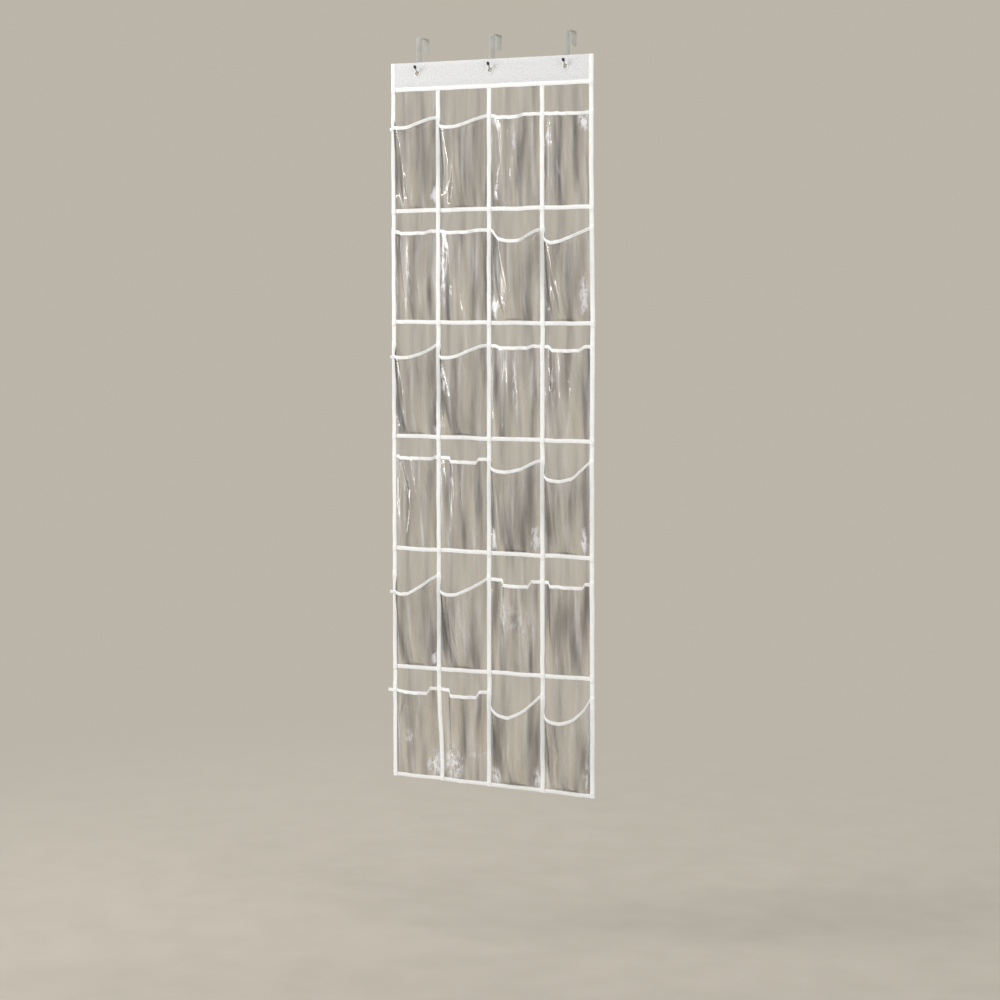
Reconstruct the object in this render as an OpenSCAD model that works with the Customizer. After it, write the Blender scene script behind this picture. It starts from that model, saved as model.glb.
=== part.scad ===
// Over-the-door shoe organizer: three steel door hooks, a white fabric header and a clear vinyl panel
// with six rows of four pockets. Millimetres, +Z up. The pockets face -Y and the door stands behind, around Y = 0.
// The origin is the middle of the centre hook's saddle, on the face that rests on the door's top edge.
// The panel folds at its seams like a concertina, so each row is cut from the next along a fold line.

/* [Door hooks] */
// Thickness of the door that the hooks sit over
door_t = 35; // [30:1:45]
// Spare room between a hook and the door, in all
door_room = 1; // [0.5:0.5:3]
// Thickness of the hooks' steel
steel_t = 1.2; // [0.8:0.1:1.6]
// Width of a hook's strap
strap_w = 13; // [9:1:20]
// Length of a hook's lip behind the door
lip_h = 32; // [15:1:60]
// Distance from one hook to the next
hook_pitch = 179; // [120:1:220]
// Inner radius of the J that carries the header
j_r = 7.5; // [7:0.5:9]
// Width of the J's tongue
j_w = 3.4; // [2.4:0.1:3.6]
// Length of the J's straight slanted end
j_end = 12; // [8:1:16]

/* [Header] */
// Strap to be seen between the door's top edge and the header
strap_drop = 55; // [45:1:80]
// Height of the header
header_h = 63; // [50:1:90]
// Depth of the eyelets' centres below the header's top edge
eyelet_drop = 24; // [22:1:26]
// Radius of an eyelet's hole
eyelet_r = 4.5; // [4.3:0.1:5.5]
// Thickness of one layer of header fabric
cloth_t = 0.5; // [0.3:0.1:0.6]
// Thickness of the stiffening board between the layers
board_t = 0.8; // [0.5:0.1:1]

/* [Panel] */
// Width of the panel over its edge bindings
panel_w = 490; // [470:2:520]
// Heights of the six rows, from the top down
row_h = [267, 251, 257, 254, 268, 251]; // [235:1:300]
// How far each divider tape stands from its even place
divider_shift = [-8, -3, 4]; // [-12:1:12]
// Width of the divider tapes and edge bindings
tape_w = 10; // [8:1:12]
// Height of the tape along each seam
seam_h = 9; // [7:1:12]
// Thickness of the vinyl
film_t = 0.5; // [0.3:0.1:0.5]

/* [Pockets] */
// Height from the seam above the pockets to their mouths, at the tapes, row by row
mouth_drop = [57, 39, 43, 38, 51, 38]; // [30:1:80]
// Height of the binding along the mouths
mouth_h = 7; // [5:1:9]
// How far an open pocket stands out at its mouth
open_gape = 34; // [15:1:40]
// How far the mouths of the open pockets sag, row by row
open_sag = [23, 28, 29, 34, 40, 50]; // [0:1:55]
// How far a slack pocket stands out at its mouth
slack_gape = 13; // [8:1:20]
// How far the mouths of the slack pockets sag, row by row
slack_sag = [3, 4, 7, 6, 11, 12]; // [0:1:15]

/* [Hidden] */
ROWS = 6;
COLS = 4;
HOOKS = ["left", "center", "right"];

row_nodes = ["back_sheet", "pocket_strip", "mouth_binding", "divider_tapes", "edge_bindings"];

$fn = 64;
snug = 0.05;       // clearance between pieces that lie on each other
clear = 0.2;       // room round the edges of a piece that another one steps over
fold_gap = 0.15;   // half the cut along a fold line
through = 10;      // longer than any hole through the header is deep
across = 8;        // facets across a pocket
up = 5;            // facets up a pocket

// hooks
inner_w = door_t + door_room;
strap_front_y = -inner_w / 2 - steel_t;
bend_r = 0.5;
sheet_y = strap_front_y - j_r;             // middle plane of the header and the back sheet
header_top_z = -strap_drop;
eyelet_z = header_top_z - eyelet_drop;
seat_gap = 0.85;                           // room for the eyelet's rim to roll on the J
seat_z = eyelet_z + eyelet_r - seat_gap;   // the J's inner bottom
j_z = seat_z + j_r;                        // centre of the J's curve
j_slant = 220;                             // where the curve ends, in degrees round that centre
j_steps = 24;                              // facets round the curve
neck_z = j_z + 2;                          // lower end of the strap's narrowing to the tongue
neck_h = 6;                                // and its height
lip_corner = 3;                            // cut corners of the lip's end
cap_h = 6;
cap_t = 0.6;

// eyelets
barrel_t = 0.6;
rim_w = 3.6;
rim_t = 0.6;
washer_t = 0.45;
turned_r = 0.4;                            // roll of the barrel's end over the washer

// layers, as distances in front of the sheet's middle plane
cloth_face = board_t / 2 + snug + cloth_t;
seam_t = 0.6;
strip_low = film_t + snug;                 // middle of the pocket strip at the seam
mouth_t = 0.4;                             // mouth binding in front of the strip and over its edge
mouth_back_t = 0.3;                        // and behind it
strip_high = strip_low + 0.4;              // middle of the strip at the mouth, over the binding's back flange
front_face = 2.1;                          // front of the divider tapes and edge bindings
flange_t = 0.6;
web_t = 1;

edge_x = panel_w / 2;
sheet_x = edge_x - web_t - 2 * snug;       // half width of everything inside the edge bindings
tape_pitch = (panel_w - tape_w) / COLS;
divider_x = [for (i = [1 : COLS - 1]) tape_w / 2 - edge_x + i * tape_pitch + divider_shift[i - 1]];
tape_x = concat([tape_w / 2 - edge_x], divider_x, [edge_x - tape_w / 2]);
flat_margin = 0.5;                         // film that lies flat beside a tape
above_seam = 1;                            // and above a seam tape
below_mouth = 1;                           // upright film below the mouth binding
swell_power = 0.7;                         // under 1, a pocket fills out low down
board_margin = 2;                          // header's top edge above its board's

// height of the fold line below row r, where row 0 is the header
function fold_z(r) = r == 0 ? header_top_z - header_h : fold_z(r - 1) - row_h[r - 1];
function mouth_z(r) = fold_z(r - 1) - mouth_drop[r - 1];

// pockets that stand open alternate by row between the left pair and the right pair
function is_open(r, c) = r % 2 == 1 ? c < 2 : c >= 2;
function gape(r, c) = is_open(r, c) ? open_gape : slack_gape;
function sag(r, c) = is_open(r, c) ? open_sag[r - 1] : slack_sag[r - 1];
function arch(u) = 4 * u * (1 - u);                 // across a pocket, 0 to 1
function swell(v) = sin(90 * pow(v, swell_power));  // up a pocket, from the seam to the mouth
function pocket_x(c, u) =
    let (lo = tape_x[c] + tape_w / 2 + flat_margin, hi = tape_x[c + 1] - tape_w / 2 - flat_margin) lo + u * (hi - lo);
function strip_out(r, c, u, v) = strip_low + (strip_high - strip_low) * v + gape(r, c) * arch(u) * swell(v);
function strip_top(r, c, u) = mouth_z(r) - sag(r, c) * arch(u);

// [x, pocket, u] from the left edge to the right
stations = concat(
    [[-sheet_x, 0, 0]],
    [for (c = [0 : COLS - 1]) for (i = [0 : across]) [pocket_x(c, i / across), c, i / across]],
    [[sheet_x, COLS - 1, 1]]
);

function in_threes(quads) = [for (q = quads) each [[q[0], q[1], q[2]], [q[0], q[2], q[3]]]];

// A strip of steel bent round an arc of under half a turn, drawn in the plane of the hook's side view
module bend(inner_r, from, to) {
    reach = 2 * (inner_r + steel_t);
    intersection() {
        difference() {
            circle(inner_r + steel_t);
            circle(inner_r);
        }
        rotate(from) translate([-reach, 0]) square([2 * reach, reach]);
        rotate(to) translate([-reach, -reach]) square([2 * reach, reach]);
    }
}

// Turns a side view, with Y across and Z up, into a solid of width w about X = 0
module side_view(w) {
    rotate([90, 0, 90]) linear_extrude(w, center = true) children();
}

// Turns a front view, with X across and Z up, into a plate from Y = y forward to y - t
module front_view(y, t) {
    translate([0, y, 0]) rotate([90, 0, 0]) linear_extrude(t) children();
}

// The plate from lo to hi in X and Z, between two distances in front of the sheet's middle plane
module layer(lo, hi, behind, front) {
    translate([lo[0], sheet_y - front, lo[1]]) cube([hi[0] - lo[0], front - behind, hi[1] - lo[1]]);
}

// One face of the tongue in side view: down the leg, round the curve, up the slanted end
function j_line(r) = concat(
    [[r, neck_z + neck_h - j_z]],
    [for (i = [0 : j_steps]) let (a = 360 - (360 - j_slant) * i / j_steps) r * [cos(a), sin(a)]],
    [r * [cos(j_slant), sin(j_slant)] + j_end * [sin(j_slant), -cos(j_slant)]]
);

function reversed(list) = [for (i = [len(list) - 1 : -1 : 0]) list[i]];

module door_hook(x) {
    half = inner_w / 2;
    side = strap_w / 2;
    color("silver") translate([x, 0, 0]) {
        side_view(strap_w) {
            translate([bend_r - half, 0]) square([inner_w - 2 * bend_r, steel_t]);
            translate([half - bend_r, -bend_r]) bend(bend_r, 0, 90);
            translate([bend_r - half, -bend_r]) bend(bend_r, 90, 180);
        }
        front_view(half + steel_t, steel_t)
            polygon([
                [-side, -bend_r], [side, -bend_r], [side, lip_corner - lip_h],
                [side - lip_corner, -lip_h], [lip_corner - side, -lip_h], [-side, lip_corner - lip_h]
            ]);
        front_view(-half, steel_t)
            polygon([
                [-side, -bend_r], [side, -bend_r], [side, neck_z + neck_h],
                [j_w / 2, neck_z], [-j_w / 2, neck_z], [-side, neck_z + neck_h]
            ]);
        side_view(j_w) translate([sheet_y, j_z]) polygon(concat(j_line(j_r), reversed(j_line(j_r + steel_t))));
    }
}

module hook_tip_caps() {
    thick = steel_t + 2 * cap_t;
    color("#2b2b2d") for (n = [-1 : 1]) translate([n * hook_pitch, 0, 0]) difference() {
        side_view(j_w + 2 * cap_t) translate([sheet_y, j_z]) rotate(j_slant) translate([j_r + steel_t / 2, -j_end]) {
            translate([-thick / 2, 0]) square([thick, cap_h]);
            circle(thick / 2);
        }
        side_view(j_w + 2 * snug) translate([sheet_y, j_z]) rotate(j_slant)
            translate([j_r - snug, -j_end - snug]) square([steel_t + 2 * snug, 2 * cap_h]);
    }
}

module at_eyelets() {
    for (n = [-1 : 1]) translate([n * hook_pitch, sheet_y, eyelet_z]) rotate([90, 0, 0]) children();
}

module header_layer(behind, front, inset_x, inset_top, inset_bottom) {
    difference() {
        layer([inset_x - edge_x, fold_z(0) + inset_bottom], [edge_x - inset_x, header_top_z - inset_top], behind, front);
        at_eyelets() cylinder(h = through, r = eyelet_r + barrel_t + snug, center = true);
    }
}

module header_front() {
    color("white") header_layer(board_t / 2 + snug, cloth_face, edge_x - sheet_x, 0, fold_gap);
}

module header_back() {
    color("white") header_layer(-cloth_face, -board_t / 2 - snug, edge_x - sheet_x, 0, fold_gap);
}

module header_board() {
    color("#d9d6cd") header_layer(-board_t / 2, board_t / 2, tape_w / 2, board_margin, seam_h + above_seam);
}

// A rolled rim in front, the barrel, and the turned end that holds the washer behind
module eyelets() {
    outer_r = eyelet_r + barrel_t;
    front = cloth_face + snug;
    back = -cloth_face - washer_t - 2 * snug;
    color("#c9ccd0") at_eyelets() rotate_extrude() {
        translate([eyelet_r, back]) square([barrel_t, front - back]);
        translate([outer_r, front]) intersection() {
            circle(rim_t);
            translate([-rim_t, 0]) square([2 * rim_t, rim_t]);
        }
        translate([outer_r, front]) square([rim_w - barrel_t - rim_t / 2, rim_t]);
        translate([eyelet_r + rim_w - rim_t / 2, front + rim_t / 2]) circle(rim_t / 2);
        translate([eyelet_r + turned_r, back]) intersection() {
            circle(turned_r);
            translate([-turned_r, -turned_r]) square([2 * turned_r, turned_r]);
        }
        translate([eyelet_r + turned_r, back - turned_r]) square([2 * turned_r, turned_r]);
    }
}

module eyelet_washers() {
    color("#c9ccd0") at_eyelets() translate([0, 0, -cloth_face - snug - washer_t]) difference() {
        cylinder(h = washer_t, r = eyelet_r + rim_w);
        cylinder(h = through, r = eyelet_r + barrel_t + snug, center = true);
    }
}

module header_seam_tape() {
    color("white") layer([-sheet_x, fold_z(0) + fold_gap], [sheet_x, fold_z(0) + seam_h],
                         cloth_face + snug, cloth_face + snug + seam_t);
}

// Folded over the header's side: a front flange notched over the seam tape, an outer web and a back flange
module header_bindings() {
    low = fold_z(0) + fold_gap;
    behind = cloth_face + snug;
    color("white") for (side = [0, 1]) mirror([side, 0, 0]) {
        layer([edge_x - tape_w, fold_z(0) + seam_h + snug], [edge_x, header_top_z], behind, front_face);
        layer([edge_x - tape_w, low], [edge_x, header_top_z], behind + seam_t + snug, front_face);
        layer([edge_x - web_t, low], [edge_x, header_top_z], -behind - flange_t, front_face);
        layer([edge_x - tape_w, low], [edge_x, header_top_z], -behind - flange_t, -behind);
    }
}

// bottom of what row r has inside its fold lines, or inside the hem on the last row
function row_low(r) = fold_z(r) + (r == ROWS ? web_t + snug : fold_gap);

module back_sheet(r) {
    color("#dfe6e8", 0.35) layer([-sheet_x, row_low(r)], [sheet_x, fold_z(r - 1) - fold_gap], -film_t / 2, film_t / 2);
}

// One strip of vinyl, flat under the tapes, arched between them and upright inside the mouth binding:
// points up the strip for one station
function strip_points(r, s, offset) =
    let (x = s[0], c = s[1], u = s[2], top = strip_top(r, c, u),
         low = fold_z(r) + seam_h + above_seam, full = top - mouth_h - below_mouth)
    concat(
        [[x, sheet_y - strip_low - offset, row_low(r)]],
        [for (j = [0 : up]) let (v = j / up) [x, sheet_y - strip_out(r, c, u, v) - offset, low + v * (full - low)]],
        [[x, sheet_y - strip_out(r, c, u, 1) - offset, top]]
    );

module pocket_strip(r) {
    n = len(stations);
    m = up + 3;
    half = n * m;
    function at(i, j, behind) = behind * half + i * m + j;
    front = [for (s = stations) each strip_points(r, s, film_t / 2)];
    behind = [for (s = stations) each strip_points(r, s, -film_t / 2)];
    quads = concat(
        [for (i = [0 : n - 2]) for (j = [0 : m - 2]) [at(i, j, 0), at(i, j + 1, 0), at(i + 1, j + 1, 0), at(i + 1, j, 0)]],
        [for (i = [0 : n - 2]) for (j = [0 : m - 2]) [at(i, j, 1), at(i + 1, j, 1), at(i + 1, j + 1, 1), at(i, j + 1, 1)]],
        [for (i = [0 : n - 2]) [at(i, 0, 0), at(i + 1, 0, 0), at(i + 1, 0, 1), at(i, 0, 1)]],
        [for (i = [0 : n - 2]) [at(i + 1, m - 1, 0), at(i, m - 1, 0), at(i, m - 1, 1), at(i + 1, m - 1, 1)]],
        [for (j = [0 : m - 2]) [at(0, j + 1, 0), at(0, j, 0), at(0, j, 1), at(0, j + 1, 1)]],
        [for (j = [0 : m - 2]) [at(n - 1, j, 0), at(n - 1, j + 1, 0), at(n - 1, j + 1, 1), at(n - 1, j, 1)]]
    );
    color("#e9eef0", 0.4) polyhedron(concat(front, behind), in_threes(quads));
}

// Tape folded over the strip's top edge, swept from the left edge to the right
module mouth_binding(r) {
    grip = film_t / 2 + snug;
    back = grip + mouth_back_t;
    face = grip + mouth_t;
    ring = [
        [-back, -mouth_h], [-back, mouth_t], [face, mouth_t], [face, -mouth_h],
        [grip, -mouth_h], [grip, snug], [-grip, snug], [-grip, -mouth_h]
    ];
    n = len(stations);
    m = len(ring);
    points = [for (s = stations) for (p = ring)
        [s[0], sheet_y - strip_out(r, s[1], s[2], 1) - p[0], strip_top(r, s[1], s[2]) + p[1]]];
    walls = [for (i = [0 : n - 2]) for (k = [0 : m - 1]) let (next = (k + 1) % m)
        [i * m + k, i * m + next, (i + 1) * m + next, (i + 1) * m + k]];
    end = [[0, 7, 6, 1], [1, 6, 5, 2], [2, 5, 4, 3]];
    left = end;
    right = [for (q = end) [for (k = [3 : -1 : 0]) (n - 1) * m + q[k]]];
    color("white") polyhedron(points, in_threes(concat(walls, left, right)));
}

module seam_tape(r) {
    color("white") layer([-sheet_x, fold_z(r) + fold_gap], [sheet_x, fold_z(r) + seam_h],
                         strip_low + film_t / 2 + 2 * snug, strip_low + film_t / 2 + 2 * snug + seam_t);
}

// Folded round the panel's bottom edge
module hem_binding() {
    low = fold_z(ROWS);
    front = strip_low + film_t / 2 + 2 * snug;
    back = film_t / 2 + snug;
    color("white") {
        layer([-sheet_x, low], [sheet_x, low + seam_h], front, front + seam_t);
        layer([-sheet_x, low], [sheet_x, low + web_t], -back - flange_t / 2, front + seam_t);
        layer([-sheet_x, low], [sheet_x, low + seam_h], -back - flange_t / 2, -back);
    }
}

// Side view of a tape down row r: on the sheet, over the mouth binding, down the strip and over the seam tape
module tape_outline(r) {
    top = fold_z(r - 1) - fold_gap;
    low = fold_z(r) + (r == ROWS ? 0 : fold_gap);
    over_mouth = mouth_z(r) + mouth_t + clear;
    under_mouth = mouth_z(r) - mouth_h - clear;
    over_binding = strip_high + film_t / 2 + mouth_t + 3 * snug;
    over_seam = strip_low + film_t / 2 + seam_t + 3 * snug;
    polygon([for (p = [
        [front_face, low], [front_face, top], [film_t / 2 + snug, top], [film_t / 2 + snug, over_mouth],
        [over_binding, over_mouth], [over_binding, under_mouth],
        [strip_high + film_t / 2 + 2 * snug, under_mouth],
        [strip_low + film_t / 2 + 2 * snug, low + seam_h + clear],
        [over_seam, low + seam_h + clear], [over_seam, low]
    ]) [sheet_y - p[0], p[1]]]);
}

module divider_tapes(r) {
    color("white") for (x = divider_x) translate([x, 0, 0]) side_view(tape_w) tape_outline(r);
}

module edge_bindings(r) {
    top = fold_z(r - 1) - fold_gap;
    low = fold_z(r) + (r == ROWS ? 0 : fold_gap);
    back = film_t / 2 + snug + (r == ROWS ? flange_t / 2 + snug : 0);
    color("white") for (side = [0, 1]) mirror([side, 0, 0]) {
        translate([edge_x - web_t / 2 - tape_w / 2, 0, 0]) side_view(tape_w - web_t) tape_outline(r);
        layer([edge_x - web_t, low], [edge_x, top], -back - flange_t, front_face);
        layer([edge_x - tape_w, low], [edge_x, top], -back - flange_t, -back);
    }
}

for (n = [0 : 2]) door_hook((n - 1) * hook_pitch);
hook_tip_caps();
header_front();
header_board();
header_back();
header_bindings();
header_seam_tape();
eyelets();
eyelet_washers();
hem_binding();
for (r = [1 : ROWS]) {
    back_sheet(r);
    pocket_strip(r);
    mouth_binding(r);
    divider_tapes(r);
    edge_bindings(r);
}
for (r = [1 : ROWS - 1]) seam_tape(r);
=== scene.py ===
"""Looks of the over-the-door shoe organizer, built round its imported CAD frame: +Z up, pockets facing -Y.

Shapes are worked out in millimetres from the frame's own boxes, and their meshes are in metres.
"Out" is a distance in front of the panel's middle plane, and "flat" coordinates run along a cloth or film.
"""

import math

import bpy
import bmesh
import numpy as np
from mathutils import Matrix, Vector


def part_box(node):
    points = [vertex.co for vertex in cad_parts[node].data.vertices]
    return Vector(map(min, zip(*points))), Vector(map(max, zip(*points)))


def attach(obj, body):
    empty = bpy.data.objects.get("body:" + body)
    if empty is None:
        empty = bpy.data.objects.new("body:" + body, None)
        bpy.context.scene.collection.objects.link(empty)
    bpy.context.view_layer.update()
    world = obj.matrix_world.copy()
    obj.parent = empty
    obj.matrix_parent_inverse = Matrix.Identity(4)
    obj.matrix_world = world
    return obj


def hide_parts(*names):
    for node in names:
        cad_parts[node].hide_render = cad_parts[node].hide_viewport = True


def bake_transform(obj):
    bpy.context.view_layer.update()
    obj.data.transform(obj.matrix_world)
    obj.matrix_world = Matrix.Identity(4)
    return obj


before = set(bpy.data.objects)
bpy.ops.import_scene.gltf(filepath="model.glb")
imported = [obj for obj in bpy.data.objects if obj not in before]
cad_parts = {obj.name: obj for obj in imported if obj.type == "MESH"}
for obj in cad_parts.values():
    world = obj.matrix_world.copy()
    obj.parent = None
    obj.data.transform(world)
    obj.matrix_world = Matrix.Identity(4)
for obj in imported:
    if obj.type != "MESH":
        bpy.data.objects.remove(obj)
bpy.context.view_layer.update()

MM = 0.001
X, Y, Z = 0, 1, 2
ROWS = range(1, 7)
COLUMNS = range(4)
SIDES = ("left", "center", "right")


# ---------------- places from the frame, in millimetres


def low(node, axis):
    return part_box(node)[0][axis] / MM


def high(node, axis):
    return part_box(node)[1][axis] / MM


def bands(node):
    """The stretches along X of the separate upright tapes in one node."""
    edges = sorted({round(v.co.x / MM, 2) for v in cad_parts[node].data.vertices})
    return list(zip(edges[::2], edges[1::2]))


FOLD_GAP = 0.15  # half the cut between two rows
SHEET_Y = (low("back_sheet_1", Y) + high("back_sheet_1", Y)) / 2
EDGE_X = high("edge_bindings_1", X)
DIVIDERS = bands("divider_tapes_1")
TAPE_W = DIVIDERS[0][1] - DIVIDERS[0][0]
SEAM_H = high("header_seam_tape", Z) - low("header_seam_tape", Z) + FOLD_GAP
HEADER_TOP = high("header_front", Z)
FOLDS = [high(f"back_sheet_{row}", Z) + FOLD_GAP for row in ROWS] + [low("hem_binding", Z)]
TAPES = [(-EDGE_X, TAPE_W - EDGE_X)] + DIVIDERS + [(EDGE_X - TAPE_W, EDGE_X)]
INNER_X = EDGE_X - 1.1  # half width of all that the edge tapes wrap
HOOK_X = [(low(f"door_hook_{side}", X) + high(f"door_hook_{side}", X)) / 2 for side in SIDES]
EYELET_Z = (low("eyelet_washers", Z) + high("eyelet_washers", Z)) / 2

MOUTH_T = 0.4  # tape over the film's edge
MOUTH_H = 7  # height of the tape along a mouth
MOUTHS = {row: high(f"mouth_binding_{row}", Z) - MOUTH_T for row in ROWS}

FILM_T = 0.36  # pocket film
BACK_T = 0.3  # back film
CLOTH_T = 0.5  # header cloth
# How far out the layers lie: the pocket film's middle at the seam and at the mouth, the two faces of a seam
# tape and of the header's own, and the middle of the header's cloth.
STRIP_LOW = 0.55
STRIP_HIGH = 0.95
SEAM_FACE = (0.86, 1.5)
HEADER_SEAM_FACE = (1.0, 1.62)
CLOTH_MIDDLE = 0.7


# ---------------- mesh tools

FRONT = np.array([0.0, -1.0, 0.0])


def wobble(a, b, seed):
    """A smooth wandering value from -1 to 1, the same every time, for coordinates in its own wavelengths."""
    return (
        np.sin(1.7 * a + 2.3 * b + seed)
        + np.sin(-2.9 * a + 1.3 * b + 2.1 * seed)
        + np.sin(4.1 * a + 3.7 * b + 0.7 * seed)
    ) / 3


def lengths(points):
    """Distance along a line of points, from 0."""
    steps = np.linalg.norm(np.diff(points, axis=0), axis=1)
    return np.concatenate([[0], np.cumsum(steps)])


def smoothstep(t):
    t = np.clip(t, 0, 1)
    return t * t * (3 - 2 * t)


class Shape:
    """One piece's mesh, gathered part by part, with flat coordinates for its weave and streaks."""

    def __init__(self):
        self.count = 0
        self.points = []
        self.faces = []
        self.flat = []

    def add(self, points, faces, flat):
        """points is (n, 3); faces holds point numbers; flat holds (u, v) for each corner of each face."""
        self.points.append(points)
        self.faces.extend([[int(i) + self.count for i in face] for face in faces])
        self.flat.extend(flat)
        self.count += len(points)

    def tube(self, rings, u=None, v=None, caps=True, ring_ends=False):
        """A closed section swept along: rings is (n, m, 3). With ring_ends the last ring joins the first."""
        n, m = rings.shape[:2]
        if u is None:
            middle = rings[n // 2]
            u = lengths(np.vstack([middle, middle[:1]]))
        if v is None:
            v = lengths(rings.mean(axis=1))
            v = np.append(v, v[-1] + 1)
        rows = n if ring_ends else n - 1
        faces, flat = [], []
        for i in range(rows):
            j = (i + 1) % n
            for k in range(m):
                e = (k + 1) % m
                faces.append((i * m + k, i * m + e, j * m + e, j * m + k))
                flat += [(u[k], v[i]), (u[k + 1], v[i])]
                flat += [(u[k + 1], v[i + 1]), (u[k], v[i + 1])]
        if caps and not ring_ends:
            for i, order in ((0, range(m - 1, -1, -1)), (n - 1, range(m))):
                faces.append([i * m + k for k in order])
                flat += [(u[k], v[i]) for k in order]
        self.add(rings.reshape(-1, 3), faces, flat)

    def slab(self, middle, thickness, u, v, skip=()):
        """A thin closed sheet about the grid of points middle, (n, m, 3), without the cells in skip."""
        n, m = middle.shape[:2]
        across = np.gradient(middle, axis=1)
        along = np.gradient(middle, axis=0)
        normal = np.cross(across, along)
        normal /= np.maximum(np.linalg.norm(normal, axis=2, keepdims=True), 1e-9)
        half = normal * thickness / 2
        points = np.concatenate([(middle + half).reshape(-1, 3), (middle - half).reshape(-1, 3)])
        back = n * m
        cells = {(i, k) for i in range(n - 1) for k in range(m - 1)} - set(skip)
        faces, flat = [], []

        def wall(a, b):
            (i, k), (j, e) = a, b
            faces.append((i * m + k, j * m + e, back + j * m + e, back + i * m + k))
            flat.extend([(u[k], v[i]), (u[e], v[j]), (u[e], v[j]), (u[k], v[i])])

        for i, k in sorted(cells):
            corners = [(i, k), (i, k + 1), (i + 1, k + 1), (i + 1, k)]
            where = [(u[e], v[j]) for j, e in corners]
            faces.append([j * m + e for j, e in corners])
            flat.extend(where)
            faces.append([back + j * m + e for j, e in reversed(corners)])
            flat.extend(reversed(where))
            for down, right, a, b in ((-1, 0, 1, 0), (1, 0, 3, 2), (0, -1, 0, 3), (0, 1, 2, 1)):
                if (i + down, k + right) not in cells:
                    wall(corners[a], corners[b])
        used = sorted({p for face in faces for p in face})
        new = {p: number for number, p in enumerate(used)}
        self.add(points[used], [[new[p] for p in face] for face in faces], flat)

    def stitches(self, path, normal, pitch=3.4, length=2.5, width=0.42, height=0.16):
        """A line of machine stitches along path, (n, 3), standing up along normal, (n, 3)."""
        along = lengths(path)
        starts = np.arange(pitch / 2, along[-1] - length, pitch)

        def at(values, s):
            return np.stack([np.interp(s, along, values[:, k]) for k in range(3)], axis=1)

        ends = [at(path, starts + part * length) for part in (0, 0.5, 1)]
        up = at(normal, starts)
        run = ends[2] - ends[0]
        side = np.cross(run, up)
        side /= np.maximum(np.linalg.norm(side, axis=1, keepdims=True), 1e-9)
        rings = []
        for middle, share in zip(ends, (0.5, 1, 0.5)):
            wing, crown = side * width / 2 * share, up * height * share
            corners = [middle + wing, middle + crown, middle - wing, middle - up * height * 0.6]
            rings.append(np.stack(corners, axis=1))
        for ring in np.stack(rings, axis=1):
            self.tube(ring, u=(0, 0.3, 0.6, 0.9, 1.2), v=(0, 1.2, 2.5))

    def flat_stitches(self, path, way=1):
        """Stitches that stand straight out, or straight back with way -1."""
        self.stitches(path, np.tile(FRONT * way, (len(path), 1)))

    def piece(self, name, material, sharp):
        """Makes the Blender object, in metres; edges over sharp degrees stay sharp."""
        mesh = bpy.data.meshes.new(name)
        points = np.concatenate(self.points) * MM
        mesh.from_pydata(points.tolist(), [], self.faces)
        layer = mesh.uv_layers.new(name="flat")
        layer.data.foreach_set("uv", (np.array(self.flat, float) * MM).ravel())
        work = bmesh.new()
        work.from_mesh(mesh)
        bmesh.ops.recalc_face_normals(work, faces=work.faces)
        work.to_mesh(mesh)
        work.free()
        mesh.shade_smooth()
        mesh.set_sharp_from_angle(angle=math.radians(sharp))
        mesh.materials.append(material)
        made = bpy.data.objects.new(name, mesh)
        bpy.context.scene.collection.objects.link(made)
        return made


# ---------------- how the panel hangs

# How far each fold sags (plus) or is drawn up (minus) at the panel's left and right edges.
LEFT_SAG = (0, 1.0, -2.4, -3.2, -2.6, 0, -3.4)
RIGHT_SAG = (0, 0.3, 0.8, 0, 0.3, -1.4, 8.0)
WAVINESS = 0.9  # of the folds between the edges
FLARE = 8.0  # how far out the right edge runs at the bottom
BELLY = 2.5  # how far it swells beside the second row
BELLY_H = 190
SLANT = 8.0  # how far to the right the left divider runs in the sixth row
SLANT_W = 50
SLANT_H = 190


def hang(x, z):
    """The soft panel hangs a little out of true: its shift in x and in z, nothing in the header."""
    below = smoothstep((FOLDS[0] - z) / 60)
    depth = np.clip((FOLDS[0] - z) / (FOLDS[0] - FOLDS[-1]), 0, 1)
    rightward = np.clip(x / EDGE_X, 0, 1)
    belly = BELLY * np.exp(-(((z - FOLDS[2]) / BELLY_H) ** 2)) * rightward**2
    slant = SLANT * np.exp(-(((x - DIVIDERS[0][0]) / SLANT_W) ** 2))
    slant = slant * smoothstep((FOLDS[5] - 20 - z) / SLANT_H)
    heights = FOLDS[::-1]
    left, right = np.interp(z, heights, LEFT_SAG[::-1]), np.interp(z, heights, RIGHT_SAG[::-1])
    share = (x / EDGE_X + 1) / 2
    sag = left * (1 - share) + right * share + WAVINESS * wobble(x / 62, z / 300, 2.6)
    return below * (FLARE * depth * rightward + belly + slant), -below * sag


def place(x, out, z):
    """Points in the row frame from x, distance out from the panel's middle plane, and z."""
    x, out, z = np.broadcast_arrays(np.asarray(x, float), np.asarray(out, float), np.asarray(z, float))
    across, up = hang(x, z)
    return np.stack([x + across, SHEET_Y - out, z + up], axis=-1)


def finished(shape, name, material, stands_for, body=None, sharp=42):
    """Makes the piece with its material, hides the frame's part that it stands for, and sets it on its body.
    """
    made = shape.piece(name, material, sharp)
    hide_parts(stands_for)
    if body:
        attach(made, body)
    return made


# ---------------- materials


def node(tree, kind, inputs=None, **settings):
    """Adds a shader node; an input is a value or another node's output."""
    made = tree.nodes.new("ShaderNode" + kind)
    for key, value in settings.items():
        setattr(made, key, value)
    for key, value in (inputs or {}).items():
        if isinstance(value, bpy.types.NodeSocket):
            tree.links.new(value, made.inputs[key])
        else:
            made.inputs[key].default_value = value
    return made


def new_material(name):
    made = bpy.data.materials.new(name)
    made.use_nodes = True
    made.node_tree.nodes.clear()
    return made, made.node_tree


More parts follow.
